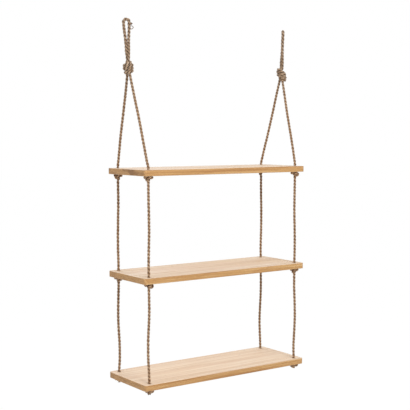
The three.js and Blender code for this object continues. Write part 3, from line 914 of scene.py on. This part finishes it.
def rope_material():
    """Jute: painted shade in the grooves between strands, which leaves the crowns paler, painted shade in the
    lines between yarns, and long thin fibres along each strand.

    The eyes and loop knots, which hands touch, are greyer, and the painted shade in their grooves is deeper.
    """
    n = Nodes("jute_rope")
    mark = n.add("Attribute", attribute_name="strand").outputs["Vector"]
    crown, cross, length = n.add("SeparateXYZ", {0: mark}).outputs
    angle = n.math("ARCTAN2", cross, crown)
    place = n.add("TexCoord").outputs["Object"]
    yarn_phase = n.math("ADD", n.math("MULTIPLY", angle, YARNS), n.math("MULTIPLY", length, YARN_TURN))
    yarn = n.math("MULTIPLY_ADD", n.math("SINE", yarn_phase), 0.5, 0.5)
    fibre_place = n.add("CombineXYZ", {0: crown, 1: cross, 2: n.math("MULTIPLY", length, 60.0)}).outputs[0]
    fibre = n.noise(n.mapped(fibre_place, (7, 7, 1)), 1.6, 4.0, 0.65)
    patch = n.noise(place, 55.0, 3.0, 0.6)
    fleck = n.noise(place, 900.0, 2.0, 0.6)
    # Painted shade: each strand's inner flanks, where it lies against the other strand, turn to a dark groove
    # brown.
    painted_groove_shade = n.ramp(crown, (0.0, 0.0), (0.3, 0.45), (0.75, 1.0))
    colour = n.ramp(
        fibre, (0.28, linear(132, 98, 68)), (0.5, linear(180, 146, 112)), (0.74, linear(214, 188, 158))
    )
    worn_place = n.add("CombineXYZ", {0: crown, 1: cross, 2: n.math("MULTIPLY", length, 70.0)}).outputs[0]
    worn = n.noise(worn_place, 1.0, 2.0, 0.6)
    colour = n.blend(n.ramp(worn, (0.42, 0.7), (0.55, 0.0)), colour, linear(126, 84, 50))
    colour = n.blend(0.35, colour, n.ramp(patch, (0.3, linear(142, 108, 76)), (0.66, linear(212, 183, 150))))
    # Painted shade in the lines between yarns, where the yarn pattern dips.
    colour = n.blend(n.ramp(yarn, (0.0, 0.25), (0.35, 0.0)), colour, linear(126, 86, 54))
    colour = n.blend(n.ramp(fleck, (0.66, 0.0), (0.8, 0.5)), colour, linear(92, 66, 44))
    z = n.add("SeparateXYZ", {0: place}).outputs[2]
    # Towards the top the rope is greyer in tone, and its painted groove shade is deeper.
    handled_tone_and_groove_shade = n.ramp(n.math("MULTIPLY_ADD", z, 4.0, 1.0), (0.1, 0.0), (0.45, 1.0))
    # The painted groove shade is laid over the rope's colour.
    colour = n.blend(painted_groove_shade, n.blend(handled_tone_and_groove_shade, linear(98, 68, 45), linear(70, 54, 42)), colour)
    colour = n.blend(handled_tone_and_groove_shade, colour, GREYER, "MULTIPLY")
    n.shade({
        "Base Color": colour, "Roughness": 0.86, "Specular IOR Level": 0.25, "Sheen Weight": 0.12,
        "Sheen Roughness": 0.5, "Normal": n.bump(fibre, 0.6, 0.0003, n.bump(yarn, 0.55, 0.0004)),
    })
    return n.material


def face_colour_with_painted_sheen(n, shifted):
    """The broad faces: painted pale, as a painted sheen for the light that falls on them, with cream and
    pinkish streaks along the board.
    """
    streak = n.noise(n.mapped(shifted, (2.2, 95.0, 95.0)), 1.0, 3.0, 0.62)
    wide = n.noise(n.mapped(shifted, (1.4, 34.0, 34.0)), 1.0, 2.0, 0.5)
    cloud = n.noise(n.mapped(shifted, (2.2, 7.0, 7.0)), 1.0, 2.0, 0.5)
    colour = n.ramp(
        streak, (0.34, linear(192, 156, 122)), (0.46, linear(217, 192, 164)), (0.55, linear(228, 208, 184)),
        (0.66, linear(246, 234, 216)),
    )
    colour = n.blend(n.ramp(wide, (0.42, 0.0), (0.7, 0.6)), colour, linear(217, 186, 164))
    return n.blend(n.ramp(cloud, (0.45, 0.0), (0.72, 0.5)), colour, linear(222, 192, 150))


def edge_colour(n, shifted, rings):
    """The front and back edges: golden, with fine brown and pale lines along the board."""
    line = n.noise(n.mapped(shifted, (3.2, 300.0, 300.0)), 1.0, 3.0, 0.6)
    colour = n.ramp(
        line, (0.3, linear(150, 103, 57)), (0.45, linear(186, 139, 86)), (0.55, linear(198, 155, 100)),
        (0.7, linear(218, 183, 133)),
    )
    late_wood = n.ramp(rings, (0.0, 0.0), (0.75, 0.1), (0.93, 0.45), (1.0, 0.0))
    return n.blend(late_wood, colour, linear(170, 120, 72))


def end_colour(n, place, growth, seed, patch_share):
    """End grain: darker than the faces, in arcs of growth with fine pores, and with a weathered patch."""
    colour = n.ramp(
        growth, (0.0, linear(216, 177, 128)), (0.55, linear(206, 160, 105)), (0.88, linear(168, 121, 72)),
        (1.0, linear(210, 169, 116)),
    )
    grain = n.noise(n.mapped(place, (60.0, 520.0, 520.0), (seed, 0, 0)), 1.0, 3.0, 0.6)
    colour = n.blend(n.ramp(grain, (0.36, 0.6), (0.56, 0.0)), colour, linear(152, 107, 64))
    patch = n.noise(n.mapped(place, (9.0, 17.0, 60.0), (seed, 0, 0)), 1.0, 2.0, 0.5)
    return n.blend(n.ramp(patch, (0.46, 0.0), (0.6, patch_share)), colour, linear(134, 94, 58))


def wood_material(name, top, pith, seed, patch_share, painted_sheen_share):
    """An oiled board: rings round a pith that runs along X, fine fibres, pores, a soft sheen from its shader,
    and broad faces painted paler than its edges as a painted sheen.
    """
    n = Nodes(name)
    place = n.add("TexCoord").outputs["Object"]
    x, _, z = n.add("SeparateXYZ", {0: place}).outputs
    shifted = n.mapped(place, location=(seed, 0, 0))
    sway = n.math("SUBTRACT", n.noise(n.mapped(shifted, (1.6, 3.0, 3.0)), 1.0, 2.0, 0.5), 0.5)
    drift = n.add("CombineXYZ", {1: n.math("MULTIPLY", sway, 0.12), 2: n.math("MULTIPLY", sway, 0.05)})
    from_pith = n.mapped(place, location=(0, *pith))
    warped = n.add("VectorMath", {0: from_pith, 1: drift.outputs[0]}, operation="ADD").outputs[0]
    rings = n.year_rings(warped, RINGS_SCALE)
    growth = n.year_rings(warped, END_RINGS_SCALE)
    fibre = n.noise(n.mapped(shifted, (6.0, 420.0, 420.0)), 1.0, 3.0, 0.6)
    pore = n.noise(n.mapped(shifted, (40.0, 900.0, 900.0)), 1.0, 1.0, 0.5)
    from_middle = n.math("ABSOLUTE", n.math("SUBTRACT", z, top - BOARD_THICKNESS * METRES / 2))
    is_face = n.rise(from_middle, *FACE_BEGINS)
    is_end = n.rise(n.math("ABSOLUTE", x), *END_BEGINS)
    colour = n.blend(is_end, edge_colour(n, shifted, rings), end_colour(n, place, growth, seed, patch_share))
    late_wood = n.ramp(rings, (0.0, 0.0), (0.6, 0.05), (0.93, 0.3), (1.0, 0.0))
    face = n.blend(late_wood, face_colour_with_painted_sheen(n, shifted), linear(186, 146, 106))
    # Painted sheen: the broad faces take the pale face colour, and a share of them takes a still paler, even
    # colour.
    colour = n.blend(is_face, colour, n.blend(painted_sheen_share, face, linear(243, 218, 191)))
    colour = n.blend(n.ramp(fibre, (0.3, 0.22), (0.6, 0.0)), colour, linear(150, 108, 68))
    colour = n.blend(n.ramp(pore, (0.68, 0.0), (0.78, 0.5)), colour, linear(128, 88, 54))
    n.shade({
        "Base Color": colour, "Roughness": n.math("MULTIPLY_ADD", fibre, 0.18, 0.46),
        "Specular IOR Level": 0.4, "Normal": n.bump(rings, 0.12, 0.0002, n.bump(fibre, 0.25, 0.0002)),
    })
    return n.material


# Studio


def light(name, place, size, power):
    """A round lamp of that size in metres and power in watts, which points at the shelf."""
    data = bpy.data.lights.new(name, "AREA")
    data.shape = "DISK"
    data.size = size
    data.energy = power
    lamp = add_object(name, data)
    lamp.location = place
    lamp.rotation_euler = (Vector(LAMPS_AIM) - Vector(place)).to_track_quat("-Z", "Y").to_euler()


def seen_directly(tree):
    """1 for the rays that see a white studio, 0 for those that light the object."""
    path = tree.nodes.new("ShaderNodeLightPath")
    total = path.outputs["Is Camera Ray"]
    for name in ("Is Glossy Ray", "Is Transmission Ray"):
        add = tree.nodes.new("ShaderNodeMath")
        add.operation = "ADD"
        add.use_clamp = True
        tree.links.new(total, add.inputs[0])
        tree.links.new(path.outputs[name], add.inputs[1])
        total = add.outputs[0]
    return total


def add_studio():
    scene = bpy.context.scene
    scene.view_settings.view_transform = "Standard"
    world = bpy.data.worlds.new("studio")
    scene.world = world
    world.use_nodes = True
    tree = world.node_tree
    background = tree.nodes["Background"]
    background.inputs["Color"].default_value = (1, 1, 1, 1)
    strength = tree.nodes.new("ShaderNodeMapRange")
    tree.links.new(seen_directly(tree), strength.inputs["Value"])
    strength.inputs["To Min"].default_value = WORLD_LIGHTS
    strength.inputs["To Max"].default_value = 1.0
    tree.links.new(strength.outputs[0], background.inputs["Strength"])
    light("key", (-0.4, -3.0, 1.6), 1.6, 84)
    light("fill", (-2.8, -1.2, 0.6), 2.2, 16)
    light("back", (0.3, 2.2, 1.6), 2.0, 26)
    add_floor()


def add_floor():
    """A white floor, which is left white where it is seen and takes the object's shadow faintly."""
    bpy.ops.mesh.primitive_plane_add(size=FLOOR_SIZE, location=(0, 0, FLOOR_Z))
    floor = bpy.context.object
    floor.name = "studio_floor"
    n = Nodes("studio_white")
    n.shade({"Base Color": (0.96, 0.96, 0.96, 1), "Roughness": 1.0, "Specular IOR Level": 0.0})
    glow = n.add("Emission", {"Color": (1, 1, 1, 1), "Strength": FLOOR_GLOW})
    share = n.math("MULTIPLY", seen_directly(n.tree), FLOOR_GLOW_SHARE)
    both = n.add("MixShader", {0: share, 1: n.shader.outputs[0], 2: glow.outputs[0]})
    n.tree.links.new(both.outputs[0], n.tree.nodes["Material Output"].inputs["Surface"])
    floor.data.materials.append(n.material)


add_camera()
ROPE = rope_material()
for rope_side in SIDES:
    make_rope(rope_side)
# Each board's pith beside its own middle, a number that sets its figure, how strong its end patches are, and
# what share of painted sheen makes its broad faces still paler and more even.
WOOD = {
    "top": ((0.031, 0.048), 0.3, 0.8, 0.0),
    "middle": ((-0.022, 0.055), 1.9, 0.3, 0.0),
    "bottom": ((0.05, 0.043), 3.4, 0.35, 0.42),
}
for board_tier, (pith_place, board_seed, end_patches, painted_sheen_faces) in WOOD.items():
    top_z = board_top(board_tier) * METRES
    pith_at = (pith_place[0], pith_place[1] - top_z)
    board_wood = wood_material(f"{board_tier}_wood", top_z, pith_at, board_seed, end_patches, painted_sheen_faces)
    make_board(board_tier, board_wood)
add_studio()
